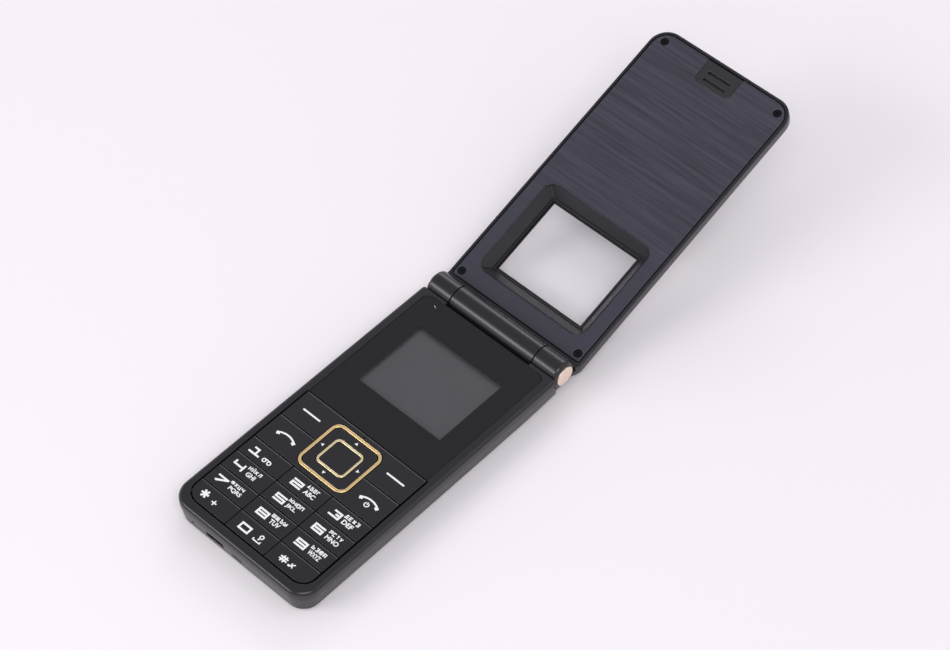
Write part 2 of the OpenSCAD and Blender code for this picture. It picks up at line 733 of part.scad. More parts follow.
module softkey_left() wide_key(-1, call_y, keys_end_y);
module softkey_right() wide_key(1, call_y, keys_end_y);
module call_key() wide_key(-1, row_edges[4], call_y);
module end_key() wide_key(1, row_edges[4], call_y);
module key_star() digit_key(-1, 0);
module key_0() digit_key(0, 0);
module key_hash() digit_key(1, 0);
module key_7() digit_key(-1, 1);
module key_8() digit_key(0, 1);
module key_9() digit_key(1, 1);
module key_4() digit_key(-1, 2);
module key_5() digit_key(0, 2);
module key_6() digit_key(1, 2);
module key_1() digit_key(-1, 3);
module key_2() digit_key(0, 3);
module key_3() digit_key(1, 3);

module frame_shape(w, l, r, line) {
  difference() {
    round_rect(w, l, r);
    round_rect(w - 2 * line, l - 2 * line, r - line);
  }
}

nav_play = 0.2;       // gap beside the navigation key and the centre key

module nav_frame() color(gold) translate([0, call_y, mat_z + mat_t + seat])
  linear_extrude(base_h + key_proud + 0.15 - mat_z - mat_t - seat) frame_shape(nav_w, nav_l, nav_r, nav_line);

module nav_key() color(key_black) translate([0, call_y, 0]) {
  translate([0, 0, key_z]) linear_extrude(key_t - 0.05) difference() {
    round_rect(nav_w - 2 * (nav_line + nav_play), nav_l - 2 * (nav_line + nav_play), nav_r - nav_line);
    round_rect(ok_w + 2 * nav_play, ok_l + 2 * nav_play, ok_r + nav_play);
  }
  for (s = [-1, 1])
    translate([0, s * nav_foot_y, stem_z]) cylinder(h = key_z - stem_z + 0.1, r = nav_foot_r, $fn = 32);
}

// The pad rocks sideways on the board; the key rocks up and down on the pad's two raised bars
module nav_pad() color(silicone) translate([0, call_y, 0]) {
  translate([0, 0, mat_z - 0.05]) linear_extrude(mat_t) difference() {
    round_rect(nav_w - 5, nav_l - 5.4, 2);
    round_rect(ok_w - 1.6, ok_l - 1.6, 1.5);
    for (s = [-1, 1]) translate([0, s * nav_foot_y]) circle(nav_foot_r + 0.3, $fn = 32);
  }
  for (s = [-1, 1]) translate([s * nav_foot_x, 0, 0]) {
    translate([0, 0, stem_z]) cylinder(h = mat_z - stem_z + 0.2, r = nav_foot_r, $fn = 32);
    translate([-0.5, -0.6, mat_z]) cube([1, 1.2, key_z - seat - mat_z]);
  }
}

module ok_key() color(key_black) translate([0, call_y, 0]) {
  translate([0, 0, key_z]) linear_extrude(key_t)
    round_rect(ok_w - 2 * (ok_line + seat), ok_l - 2 * (ok_line + seat), ok_r - ok_line);
  translate([0, 0, stem_z]) cylinder(h = key_z - stem_z + 0.1, r = stem_r, $fn = 32);
}

module ok_frame() color(gold) translate([0, call_y, key_z])
  linear_extrude(key_t + 0.1) frame_shape(ok_w, ok_l, ok_r, ok_line);

// ---- Lid ----

module lid_frame() {
  translate([0, axis_y, axis_z]) rotate([180 - open_angle, 0, 0]) children();
}

module lid_outer() {
  middle = (lid_heel + lid_l) / 2;
  translate([0, lid_heel, 0])
    rounded_end(lid_w, middle - lid_heel, lid_heel_r, back_w, face_w, lid_under_r, lid_rim_r);
  translate([0, lid_l, 0]) rotate([0, 0, 180])
    rounded_end(lid_w, lid_l - middle, lid_corner_r, back_w, face_w, lid_under_r, lid_rim_r);
}

module lid_inside(margin) {
  end_rect(lid_in_x - margin, panel_start - groove + margin, lid_l - lid_wall - margin,
           panel_r + groove, lid_corner_r - lid_wall);
}

module lid_screw_places() {
  for (row = screw_rows, s = [-1, 1]) translate([s * row[1], row[0], 0]) children();
}

module at_window() {
  translate([0, view_back, 0]) children();
}

// Passage of the lead from the bush's bore into the lid
module lid_lead_slot() {
  translate([-7.4, 2, lead_z - 0.5]) cube([3, panel_start, 1.2]);
  translate([-7.4, 2, lead_z - 0.5]) cube([3, 1.2, -lead_z]);
}

module lid_shell() color(body_black) lid_frame() {
  difference() {
    union() {
      difference() {
        lid_outer();
        // the cavity is narrower below the ledge that carries the panel
        translate([0, 0, panel_back - seat]) linear_extrude(lid_t) lid_inside(0);
        translate([0, 0, cavity_w]) linear_extrude(lid_t) lid_inside(1);
        translate([0, 0, cavity_w + 2.9]) linear_extrude(lid_t) intersection() {
          lid_inside(0);
          lid_screw_places() circle(2.5);
        }
        for (s = [0, 1]) mirror([s, 0, 0])
          rod_x(knuckle_l / 2, lid_w, barrel_r + 0.4);
      }
      rod_x(-knuckle_l / 2, knuckle_l / 2, barrel_r);
      at_window() translate([0, 0, cavity_w - 0.2])
        linear_extrude(glass_w + 0.85 - cavity_w + 0.2)
          square([well_w + 2 * (pane_lip + 1.1), well_l + 2 * (pane_lip + 1.1)], center = true);
      lid_screw_places() translate([0, 0, cavity_w - 0.2]) cylinder(h = 3.15, r = 2);
    }
    at_window() {
      translate([0, 0, back_w - past]) linear_extrude(lid_t) square([well_w, well_l], center = true);
      translate([0, 0, back_w - past]) linear_extrude(glass_w + seat - back_w + past)
        round_rect(well_w + 2 * (pane_lip + slack), well_l + 2 * (pane_lip + slack), 1.5);
    }
    lid_screw_places() translate([0, 0, cavity_w + 0.1]) cylinder(h = lid_t, r = 0.65);
    rod_x(knuckle_l / 2 - cam_l - slack, base_w, hinge_bore_r);
    rod_x(-base_w, -4.5, hinge_bore_r);
    lid_lead_slot();
  }
}

// Space of the window well: its slope and the upright walls below it, widened by a margin
module well_space(margin) {
  top = face_w + (margin > 0 ? 0 : past);
  grow = margin > 0 ? 0 : well_slope / well_depth * past;
  slope_z = face_w - well_depth;
  intersection() {
    along_y(-foot_l, foot_l) polygon([[-foot_w / 2 - margin, slope_z], [foot_w / 2 + margin, slope_z],
      [foot_w / 2 + well_slope + margin + grow, top], [-foot_w / 2 - well_slope - margin - grow, top]]);
    along_x(-foot_w, foot_w) polygon([[-foot_l / 2 - margin, slope_z], [foot_l / 2 + margin, slope_z],
      [foot_l / 2 + well_slope + margin + grow, top], [-foot_l / 2 - well_slope - margin - grow, top]]);
    translate([0, 0, back_w]) linear_extrude(lid_t + 2 * past)
      round_rect(foot_w + 2 * (well_slope + margin), foot_l + 2 * (well_slope + margin), 3.5 + margin);
  }
  translate([0, 0, glass_w + 0.85 + seat]) linear_extrude(slope_z + 0.1 - glass_w - 0.85 - seat)
    square([foot_w + 2 * margin, foot_l + 2 * margin], center = true);
}

module ear_slots() {
  for (s = [-1, 1]) translate([0, ear_y + s * 1.4]) round_rect(ear_slot_w, 1.0, 0.49);
}

module lid_panel() color("#3d3c46") lid_frame() difference() {
  union() {
    translate([0, 0, panel_back]) linear_extrude(panel_t)
      end_rect(panel_x, panel_start, panel_end, panel_r, lid_corner_r - lid_wall - groove);
    at_window() well_space(well_wall);
    lid_screw_places() translate([0, 0, cavity_w + 3]) cylinder(h = panel_back - cavity_w - 2.9, r = 2.2);
  }
  at_window() translate([0, 0, -0.001]) well_space(0);
  at_window() translate([0, 0, back_w]) linear_extrude(face_w - well_depth - back_w + 0.05)
    square([foot_w, foot_l], center = true);
  translate([0, 0, back_w]) linear_extrude(lid_t + past) ear_slots();
  // shallow patch round the slots, open to the panel's end
  translate([0, 0, face_w - 0.3]) linear_extrude(past)
    end_rect(ear_patch_w / 2, ear_y - 3.4, lid_l, 2.4, 0.4);
  lid_screw_places() {
    translate([0, 0, face_w - screw_sink - 0.85]) cylinder(h = lid_t, r = 1.4);
    translate([0, 0, back_w]) cylinder(h = lid_t, r = 0.9);
  }
}

module window_pane() color([0.8, 0.82, 0.85, 0.4]) lid_frame() at_window()
  translate([0, 0, glass_w - pane_t]) linear_extrude(pane_t)
    round_rect(well_w + 2 * pane_lip, well_l + 2 * pane_lip, 1.4);

module window_tape() color("#0c0c0e") lid_frame() at_window()
  translate([0, 0, glass_w]) linear_extrude(seat) difference() {
    round_rect(well_w + 2 * pane_lip, well_l + 2 * pane_lip, 1.4);
    square([view_w + 0.1, view_h + 0.1], center = true);
  }

module earpiece() color("#6b6c70") lid_frame() translate([0, ear_y, panel_back - 0.4 - 2.4])
  linear_extrude(2.4) round_rect(12, 6.4, 2.5);

module earpiece_mesh() color("#101012") lid_frame() translate([0, ear_y, panel_back - 0.3])
  linear_extrude(0.25) round_rect(12, 6.4, 2.5);

module lid_magnet() color(steel) lid_frame()
  translate([-lid_in_x + 3, view_back + 24, cavity_w + 0.1]) cube([4, 8, 2]);

module lid_screws() color("#1c1c20") lid_frame() lid_screw_places() {
  translate([0, 0, face_w - screw_sink - 0.8]) difference() {
    cylinder(h = 0.8, r = 1.15);
    for (a = [0, 90]) rotate([0, 0, a]) translate([-0.65, -0.15, 0.4]) cube([1.3, 0.3, 1]);
  }
  translate([0, 0, cavity_w + 0.4]) cylinder(h = face_w - screw_sink - 0.7 - cavity_w - 0.4, r = 0.6);
}

module lid_lead() color(flex_amber) lid_frame() {
  translate([-barrel_out + bush_end, -0.8, -0.1]) cube([barrel_out - bush_end - 5, lead_w, lead_t]);
  translate([-6.6, 0, -0.1]) cube([lead_w, 2.7, lead_t]);
  translate([-6.6, 2.5, lead_z]) cube([lead_w, lead_t, -lead_z]);
  translate([-6.6, 2.5, lead_z]) cube([lead_w, panel_start - 0.4, lead_t]);
  translate([lead_x, panel_start + 1, lead_z]) cube([-5 - lead_x, 1.1, lead_t]);
  translate([lead_x, panel_start + 1, lead_z]) cube([lead_run_w, ear_y - 5 - panel_start - 1, lead_t]);
  translate([lead_x, ear_y - 6, lead_z]) cube([-2 - lead_x, 1.6, lead_t]);
  translate([-3.6, ear_y - 6, lead_z]) cube([1.6, 2.7, lead_t]);
}

module hinge_cam() color(steel) lid_frame() {
  rod_x(knuckle_l / 2 - cam_l, knuckle_l / 2, hinge_bore_r - fit);
  rod_x(knuckle_l / 2 - 0.1, slider_x - 0.1, case_in_r - 2 * fit);
  rod_x(slider_x - 0.2, barrel_out - cap_stem - 0.5, pin_r);
}

front_housing();
rear_housing();
battery_cover();
battery();
battery_contacts();
sim_holder();
main_board();
shield_cans();
dome_sheet();
key_mat();
screen_lens();
display_panel();
backlight();
loudspeaker();
microphone();
vibration_motor();
charging_socket();
antenna();
camera_module();
torch_lamp();
camera_window();
housing_screws();
hinge_case();
hinge_slider();
hinge_spring();
hinge_bush();
hinge_caps();
base_lead();
nav_frame();
softkey_left();
softkey_right();
call_key();
end_key();
nav_pad();
nav_key();
ok_key();
ok_frame();
key_1();
key_2();
key_3();
key_4();
key_5();
key_6();
key_7();
key_8();
key_9();
key_star();
key_0();
key_hash();
lid_shell();
lid_panel();
window_pane();
window_tape();
earpiece();
earpiece_mesh();
lid_magnet();
lid_screws();
lid_lead();
hinge_cam();
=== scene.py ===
import math

import bmesh
import bpy
from mathutils import Matrix, Vector
from mathutils.bvhtree import BVHTree


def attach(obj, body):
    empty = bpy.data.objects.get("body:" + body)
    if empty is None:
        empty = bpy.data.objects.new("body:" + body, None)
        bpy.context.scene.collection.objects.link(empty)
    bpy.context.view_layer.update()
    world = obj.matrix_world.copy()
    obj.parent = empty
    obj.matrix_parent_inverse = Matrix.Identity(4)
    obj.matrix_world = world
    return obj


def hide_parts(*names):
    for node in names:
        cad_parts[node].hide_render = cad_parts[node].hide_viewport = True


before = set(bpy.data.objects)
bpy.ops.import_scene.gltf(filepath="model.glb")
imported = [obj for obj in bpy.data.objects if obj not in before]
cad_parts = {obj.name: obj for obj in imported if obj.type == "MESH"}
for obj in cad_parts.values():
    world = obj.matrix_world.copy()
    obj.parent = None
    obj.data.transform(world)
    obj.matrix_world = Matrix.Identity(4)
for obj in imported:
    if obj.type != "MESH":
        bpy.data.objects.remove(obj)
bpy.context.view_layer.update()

# ---------------------------------------------------------------------------------------------
# Camera: a long lens held high at the phone's right-hand side, so that the base runs down to the
# left and the open lid up to the right.
FOCAL_MM, SENSOR_MM = 102.57, 36.0
CAMERA_PLACE = (0.35977, -0.33884, 0.67751)
CAMERA_TURN, CAMERA_TILT, CAMERA_ROLL = 43.195, 38.626, -0.342

camera_data = bpy.data.cameras.new("camera")
camera_data.lens = FOCAL_MM
camera_data.sensor_width = SENSOR_MM
camera_data.clip_start = 0.01
camera = bpy.data.objects.new("camera", camera_data)
bpy.context.scene.collection.objects.link(camera)
turn = Matrix.Rotation(math.radians(CAMERA_TURN), 4, "Z")
tilt = Matrix.Rotation(math.radians(CAMERA_TILT), 4, "X")
roll = Matrix.Rotation(math.radians(CAMERA_ROLL), 4, "Z")
camera.matrix_world = Matrix.Translation(CAMERA_PLACE) @ turn @ tilt @ roll
bpy.context.scene.camera = camera

# ---------------------------------------------------------------------------------------------
# Studio: a pale lavender-white sheet of paper in a tent that is bright low down all round and dimmer
# overhead, with one soft box by the camera and three round the back and left. Black plastic mirrors
# that: dark on its flat tops, light along its rounded edges and barrels.


def linear(hex_colour):
    """The linear value of an sRGB hex colour, with full alpha."""
    channels = [int(hex_colour[i:i + 2], 16) / 255 for i in (1, 3, 5)]
    return [c / 12.92 if c <= 0.04045 else ((c + 0.055) / 1.055) ** 2.4 for c in channels] + [1.0]


def add(material, kind, settings=None, **inputs):
    """Adds a node. Inputs are named, or numbered as i0, i1. A socket is linked, any other value is set."""
    made = material.node_tree.nodes.new(kind)
    for name, value in (settings or {}).items():
        setattr(made, name, value)
    for name, value in inputs.items():
        numbered = name[0] == "i" and name[1:].isdigit()
        socket = made.inputs[int(name[1:]) if numbered else name.replace("_", " ")]
        if isinstance(value, bpy.types.NodeSocket):
            material.node_tree.links.new(value, socket)
        else:
            socket.default_value = value
    return made


def empty_material(name):
    material = bpy.data.materials.new(name)
    material.use_nodes = True
    material.node_tree.nodes.clear()
    return material


paper = empty_material("backdrop_paper")
paper_grain = add(paper, "ShaderNodeTexNoise", Scale=3.0, Detail=1.0,
                  Vector=add(paper, "ShaderNodeTexCoord").outputs["Object"])
paper_tone = add(paper, "ShaderNodeMix", {"data_type": "RGBA"}, i0=paper_grain.outputs[0],
                 i6=linear("#f8f2f7"), i7=linear("#fcf6fb"))
paper_face = add(paper, "ShaderNodeBsdfDiffuse", Color=paper_tone.outputs[2])
add(paper, "ShaderNodeOutputMaterial", Surface=paper_face.outputs[0])

sweep = bmesh.new()
bmesh.ops.create_grid(sweep, x_segments=1, y_segments=1, size=1.5)
floor_mesh = bpy.data.meshes.new("floor")
sweep.to_mesh(floor_mesh)
sweep.free()
floor = bpy.data.objects.new("floor", floor_mesh)
floor_mesh.materials.append(paper)
floor.location.z = -0.00002                      # a hair under the phone, so that they share no plane
bpy.context.scene.collection.objects.link(floor)

world = bpy.data.worlds.new("studio")
bpy.context.scene.world = world
world.use_nodes = True
world.node_tree.nodes.clear()
sky_way = add(world, "ShaderNodeSeparateXYZ", Vector=add(world, "ShaderNodeTexCoord").outputs["Generated"])
sky_height = add(world, "ShaderNodeMapRange", {"interpolation_type": "SMOOTHSTEP"},
                 Value=sky_way.outputs["Z"], From_Min=0.05, From_Max=0.75, To_Min=0.84, To_Max=0.52)
sky_light = add(world, "ShaderNodeBackground", Color=linear("#f3f1f7"), Strength=sky_height.outputs[0])
sky_seen = add(world, "ShaderNodeBackground", Color=linear("#f7f3f9"), Strength=1.0)
sky_mix = add(world, "ShaderNodeMixShader", i0=add(world, "ShaderNodeLightPath").outputs["Is Camera Ray"],
              i1=sky_light.outputs[0], i2=sky_seen.outputs[0])
add(world, "ShaderNodeOutputWorld", Surface=sky_mix.outputs[0])


def lamp(name, place, aim, width, height, watts):
    """A soft box of that size in metres, turned towards a point. It lights the scene but isn't seen."""
    light = bpy.data.lights.new(name, "AREA")
    light.shape = "RECTANGLE"
    light.size = width
    light.size_y = height
    light.energy = watts
    holder = bpy.data.objects.new(name, light)
    holder.location = place
    holder.rotation_euler = (Vector(aim) - Vector(place)).to_track_quat("-Z", "Y").to_euler()
    holder.visible_camera = False
    bpy.context.scene.collection.objects.link(holder)


lamp("camera_side_lamp", (0.87, -0.72, 1.6), (0, 0.03, 0), 1.1, 0.8, 12.2)
lamp("back_right_lamp", (0.8, 0.7, 1.3), (0, 0.05, 0), 0.9, 0.9, 1.8)
lamp("front_left_lamp", (-0.6, -1.02, 0.76), (0, 0, 0), 0.8, 0.36, 5.2)
lamp("back_left_lamp", (-0.6, 1.05, 0.7), (0, 0, 0), 0.8, 0.35, 2.3)
bpy.context.scene.view_settings.view_transform = "Standard"

# ---------------------------------------------------------------------------------------------
# Base housings: an upper frame, a lower shell and a battery cover of charcoal ABS, injection
# moulded with a fine spark-eroded satin finish. The frame carries the two outer hinge barrels.
# Satin ABS shows soft, wide highlights and almost no clear reflection.

MM = 0.001


def softened(node, name, width, segments=2, sharp=35, flatten=True, reshape=None):
    """A copy of a CAD node whose sharp edges are rounded by width (mm), as a mould leaves them."""
    shape = bmesh.new()
    shape.from_mesh(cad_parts[node].data)
    bmesh.ops.remove_doubles(shape, verts=shape.verts, dist=0.001 * MM)
    if flatten:
        bmesh.ops.dissolve_limit(shape, angle_limit=math.radians(0.6), verts=shape.verts, edges=shape.edges)
    skin = BVHTree.FromBMesh(shape)
    edges = [e for e in shape.edges if e.is_manifold and e.calc_face_angle() > math.radians(sharp)]
    bmesh.ops.bevel(shape, geom=edges, offset=width * MM, offset_type="OFFSET", segments=segments,
                    profile=0.5, affect="EDGES", clamp_overlap=False, material=-1)
    # A corner that the rounding threw off the skin goes back to its nearest neighbour
    for v in shape.verts:
        if skin.find_nearest(v.co)[3] > 2 * width * MM:
            neighbours = [e.other_vert(v) for e in v.link_edges]
            v.co = min(neighbours, key=lambda other: (other.co - v.co).length).co
    bmesh.ops.remove_doubles(shape, verts=shape.verts, dist=0.002 * MM)
    if reshape:
        reshape(shape)
    return piece(name, shape)


def piece(name, shape, smooth=30):
    """An object from a bmesh: flat faces stay flat and roundings stay smooth."""
    mesh = bpy.data.meshes.new(name)
    shape.to_mesh(mesh)
    shape.free()
    mesh.materials.clear()
    for face in mesh.polygons:
        face.use_smooth = True
        face.material_index = 0
    mesh.set_sharp_from_angle(angle=math.radians(smooth))
    made = bpy.data.objects.new(name, mesh)
    bpy.context.scene.collection.objects.link(made)
    weighted = made.modifiers.new("flat_faces", "WEIGHTED_NORMAL")
    weighted.keep_sharp = True
    return made


def moulded(name, colour, roughness, grain_mm=0.35, relief=0.006):
    """Moulded plastic: an even colour, a faint cloudiness and a fine eroded grain."""
    material = empty_material(name)
    place = add(material, "ShaderNodeTexCoord").outputs["Object"]
    cloud = add(material, "ShaderNodeTexNoise", Vector=place, Scale=70.0, Detail=3.0)
    shade = add(material, "ShaderNodeMix", {"data_type": "RGBA"}, i0=cloud.outputs[0],
                i6=linear(colour), i7=[min(1, 1.12 * c) for c in linear(colour)])
    rough = add(material, "ShaderNodeMapRange", Value=cloud.outputs[0], To_Min=roughness - 0.03,
                To_Max=roughness + 0.03)
    grain = add(material, "ShaderNodeTexNoise", Vector=place, Scale=1 / (grain_mm * MM), Detail=2.0)
    bump = add(material, "ShaderNodeBump", Height=grain.outputs[0], Strength=0.25, Distance=relief * MM)
    skin = add(material, "ShaderNodeBsdfPrincipled", Base_Color=shade.outputs[2], Roughness=rough.outputs[0],
               IOR=1.53, Normal=bump.outputs[0])
    add(material, "ShaderNodeOutputMaterial", Surface=skin.outputs[0])
    return material


housing_abs = moulded("satin_charcoal_abs", "#1a191e", 0.26)

MOULDED_EDGE = 0.14
for node in ("front_housing", "rear_housing", "battery_cover"):
    housing = softened(node, node + "_moulding", MOULDED_EDGE)
    housing.data.materials.append(housing_abs)
    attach(housing, "base")
    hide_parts(node)

# ---------------------------------------------------------------------------------------------
# Screen: an acrylic lens, printed black behind except over the small colour display. Acrylic is
# glossy and smooth; the display, switched off, shows through it as a flat dark grey.

VIEW_MIDDLE = 23.7
VIEW_W, VIEW_H = 35.0, 28.1
LENS_MIDDLE_Z = 9.6


def glossy(name, colour, roughness, alpha=1.0, ior=1.49):
    """Polished plastic or glass: an even colour with faint wiping marks in its gloss."""
    material = empty_material(name)
    place = add(material, "ShaderNodeTexCoord").outputs["Object"]
    wiped = add(material, "ShaderNodeTexNoise", Vector=place, Scale=180.0, Detail=2.0)
    rough = add(material, "ShaderNodeMapRange", Value=wiped.outputs[0], To_Min=roughness * 0.8,
                To_Max=roughness * 1.2)
    tone = add(material, "ShaderNodeMix", {"data_type": "RGBA"}, i0=wiped.outputs[0],
               i6=linear(colour), i7=[min(1, 1.05 * c) for c in linear(colour)])
    skin = add(material, "ShaderNodeBsdfPrincipled", Base_Color=tone.outputs[2], Roughness=rough.outputs[0],
               IOR=ior, Alpha=alpha)
    add(material, "ShaderNodeOutputMaterial", Surface=skin.outputs[0])
    return material


# The print is opaque outside the display's rectangle and clear inside it, down to the acrylic's middle.
lens_acrylic = empty_material("black_printed_acrylic")
lens_place = add(lens_acrylic, "ShaderNodeTexCoord").outputs["Object"]
lens_split = add(lens_acrylic, "ShaderNodeSeparateXYZ", Vector=lens_place)
off_x = add(lens_acrylic, "ShaderNodeMath", {"operation": "ABSOLUTE"}, i0=lens_split.outputs["X"])
off_y = add(lens_acrylic, "ShaderNodeMath", {"operation": "SUBTRACT"}, i0=lens_split.outputs["Y"],
            i1=VIEW_MIDDLE * MM)
off_y = add(lens_acrylic, "ShaderNodeMath", {"operation": "ABSOLUTE"}, i0=off_y.outputs[0])
beside = add(lens_acrylic, "ShaderNodeMath", {"operation": "GREATER_THAN"}, i0=off_x.outputs[0],
             i1=VIEW_W / 2 * MM)
beyond = add(lens_acrylic, "ShaderNodeMath", {"operation": "GREATER_THAN"}, i0=off_y.outputs[0],
             i1=VIEW_H / 2 * MM)
framed = add(lens_acrylic, "ShaderNodeMath", {"operation": "MAXIMUM"}, i0=beside.outputs[0],
             i1=beyond.outputs[0])
above = add(lens_acrylic, "ShaderNodeMath", {"operation": "GREATER_THAN"}, i0=lens_split.outputs["Z"],
            i1=LENS_MIDDLE_Z * MM)
printed = add(lens_acrylic, "ShaderNodeMath", {"operation": "MULTIPLY"}, i0=framed.outputs[0],
              i1=above.outputs[0])
lens_alpha = add(lens_acrylic, "ShaderNodeMapRange", Value=printed.outputs[0], To_Min=0.06, To_Max=1.0)
lens_wear = add(lens_acrylic, "ShaderNodeTexNoise", Vector=lens_place, Scale=150.0, Detail=2.0)
lens_rough = add(lens_acrylic, "ShaderNodeMapRange", Value=lens_wear.outputs[0], To_Min=0.1, To_Max=0.16)
lens_skin = add(lens_acrylic, "ShaderNodeBsdfPrincipled", Base_Color=linear("#141417"),
                Roughness=lens_rough.outputs[0], IOR=1.49, Alpha=lens_alpha.outputs[0])
add(lens_acrylic, "ShaderNodeOutputMaterial", Surface=lens_skin.outputs[0])

lens = softened("screen_lens", "screen_lens_polished", 0.1)
lens.data.materials.append(lens_acrylic)
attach(lens, "base")
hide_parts("screen_lens")

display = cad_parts["display_panel"]
display.data.materials.clear()
display.data.materials.append(glossy("display_glass_off", "#555459", 0.36))

# ---------------------------------------------------------------------------------------------
# Keys: sixteen separate caps of black ABS with rounded rims, a hair's breadth apart, each on its own
# stem. Each cap's rear edge is chamfered, which draws a light band behind every row of keys.

KEY_TOP = 10.3
CHAMFER_L, CHAMFER_H = 0.7, 0.2
TOP_BAND = 0.3                                    # height of the cap's face with its rounded rim
key_abs = moulded("satin_key_abs", "#17171c", 0.27, grain_mm=0.3, relief=0.004)
DIGIT_KEYS = ("key_1", "key_2", "key_3", "key_4", "key_5", "key_6", "key_7", "key_8", "key_9",
              "key_star", "key_0", "key_hash")
WIDE_KEYS = ("softkey_left", "softkey_right", "call_key", "end_key")


def chamfer_rear(shape):
    """Cuts the cap near its rear edge and shears the top behind the cut down to a slope."""
    cut_y = max(v.co.y for v in shape.verts) - CHAMFER_L * MM
    everything = shape.verts[:] + shape.edges[:] + shape.faces[:]
    bmesh.ops.bisect_plane(shape, geom=everything, plane_co=(0, cut_y, 0), plane_no=(0, 1, 0))
    for v in shape.verts:
        if v.co.z > (KEY_TOP - TOP_BAND) * MM and v.co.y > cut_y:
            v.co.z -= (v.co.y - cut_y) / CHAMFER_L * CHAMFER_H


for node in DIGIT_KEYS + WIDE_KEYS:
    cap = softened(node, node + "_cap", MOULDED_EDGE, segments=3, reshape=chamfer_rear)
    cap.data.materials.append(key_abs)
    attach(cap, node)
    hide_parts(node)

# ---------------------------------------------------------------------------------------------
# Navigation key: a black ring-shaped rocker between a fixed gold frame and the gold frame of the
# centre key. The frames are brass, pressed, polished and gold plated, with a rounded face.


def polished_gold(name, colour, roughness):
    """Plated metal: warm and reflective, with a slight haze that varies along the frame."""
    material = empty_material(name)
    place = add(material, "ShaderNodeTexCoord").outputs["Object"]
    haze = add(material, "ShaderNodeTexNoise", Vector=place, Scale=150.0, Detail=1.0)
    rough = add(material, "ShaderNodeMapRange", Value=haze.outputs[0], To_Min=roughness - 0.03,
                To_Max=roughness + 0.03)
    tone = add(material, "ShaderNodeMix", {"data_type": "RGBA"}, i0=haze.outputs[0], i6=linear(colour),
               i7=[min(1, 1.04 * c) for c in linear(colour)])
    skin = add(material, "ShaderNodeBsdfPrincipled", Base_Color=tone.outputs[2], Metallic=1.0,
               Roughness=rough.outputs[0])
    add(material, "ShaderNodeOutputMaterial", Surface=skin.outputs[0])
    return material


gold_plate = polished_gold("polished_gold_plate", "#ffdda2", 0.34)
# The centre key's frame has the same gold plate made lighter, as painted sheen on its narrow rounded face.
sheen_lit_gold_plate = polished_gold("gold_plate_with_painted_sheen", "#ffebbe", 0.34)
for node, body, plate in (("nav_frame", "base", gold_plate), ("ok_frame", "centre_key", sheen_lit_gold_plate)):
    gold_frame = softened(node, node + "_plated", 0.3, segments=4)
    gold_frame.data.materials.append(plate)
    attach(gold_frame, body)
    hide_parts(node)

for node, body in (("nav_key", "navigation_key"), ("ok_key", "centre_key")):
    cap = softened(node, node + "_cap", 0.2, segments=3)
    cap.data.materials.append(key_abs)
    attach(cap, body)
    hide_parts(node)

# ---------------------------------------------------------------------------------------------
# Key legends: white ink, pad printed on the caps in a film a few hundredths of a millimetre thick.
# They are the plain figures, letters and signs that any such keypad carries. The same white ink paints a
# small glint on the lens.

INK = 0.02
INK_TOP = KEY_TOP + INK
LAYER = 0.002                                     # a stroke that crosses another lies this much higher
COLUMN_X = (-22.7, -4.9, 11.4)                    # lower left corners of the figures
ROW_Y = (-54.65, -47.3, -40.05, -32.8)
FIGURE_W, FIGURE_H, FIGURE_STROKE = 4.25, 2.75, 0.66

white_ink_and_glint = empty_material("white_print_and_painted_glint")
ink_place = add(white_ink_and_glint, "ShaderNodeTexCoord").outputs["Object"]
ink_film = add(white_ink_and_glint, "ShaderNodeTexNoise", Vector=ink_place, Scale=2500.0, Detail=2.0)
ink_tone = add(white_ink_and_glint, "ShaderNodeMix", {"data_type": "RGBA"}, i0=ink_film.outputs[0],
               i6=linear("#f0f0f3"), i7=linear("#fafafc"))
ink_skin = add(white_ink_and_glint, "ShaderNodeBsdfPrincipled", Base_Color=ink_tone.outputs[2], Roughness=0.5)
add(white_ink_and_glint, "ShaderNodeOutputMaterial", Surface=ink_skin.outputs[0])


def figure(shape, rows, columns=(FIGURE_STROKE, FIGURE_W - 2 * FIGURE_STROKE, FIGURE_STROKE)):
    """A squared figure with its lower left corner at 0, 0: rows of filled and empty cells, from the top."""
    gap = (FIGURE_H - 3 * FIGURE_STROKE) / 2
    heights = (FIGURE_STROKE, gap, FIGURE_STROKE, gap, FIGURE_STROKE)
    across = [sum(columns[:i]) for i in range(len(columns) + 1)]
    up = [sum(heights[:i]) for i in range(len(heights) + 1)]
    grid = bmesh.ops.create_grid(shape, x_segments=len(columns), y_segments=len(heights), size=0.5)["verts"]
    places = {v: (round((v.co.x + 0.5) * len(columns)), round((v.co.y + 0.5) * len(heights))) for v in grid}
    faces = list({f for v in grid for f in v.link_faces})
    empty = []
    for face in faces:
        column = min(places[v][0] for v in face.verts)
        row = min(places[v][1] for v in face.verts)
        if rows[len(rows) - 1 - row][column] == " ":
            empty.append(face)
    for v, (i, j) in places.items():
        v.co = Vector((across[i], up[j], INK_TOP)) * MM
    bmesh.ops.delete(shape, geom=empty, context="FACES")


def ribbon(shape, points, width, z=INK_TOP, closed=False):
    """A flat stroke of that width (mm) along points."""
    count = len(points)
    sides = []
    for i, (x, y) in enumerate(points):
        here = Vector((x, y))
        ways = []
        if closed or i:
            ways.append((here - Vector(points[i - 1])).normalized())
        if closed or i < count - 1:
            ways.append((Vector(points[(i + 1) % count]) - here).normalized())
        along = sum(ways, Vector((0, 0))).normalized()
        off = Vector((-along.y, along.x)) * (width / 2) / max(0.5, along.dot(ways[0]))
        sides.append([shape.verts.new(((x + s * off.x) * MM, (y + s * off.y) * MM, z * MM)) for s in (1, -1)])
    for i in range(count if closed else count - 1):
        a, b = sides[i], sides[(i + 1) % count]
        shape.faces.new((a[0], a[1], b[1], b[0]))


def arc(x, y, radius, start, end, steps=10):
    """Points round a circle, from one angle to another, in degrees."""
    angles = [math.radians(start + (end - start) * i / steps) for i in range(steps + 1)]
    return [(x + radius * math.cos(a), y + radius * math.sin(a)) for a in angles]


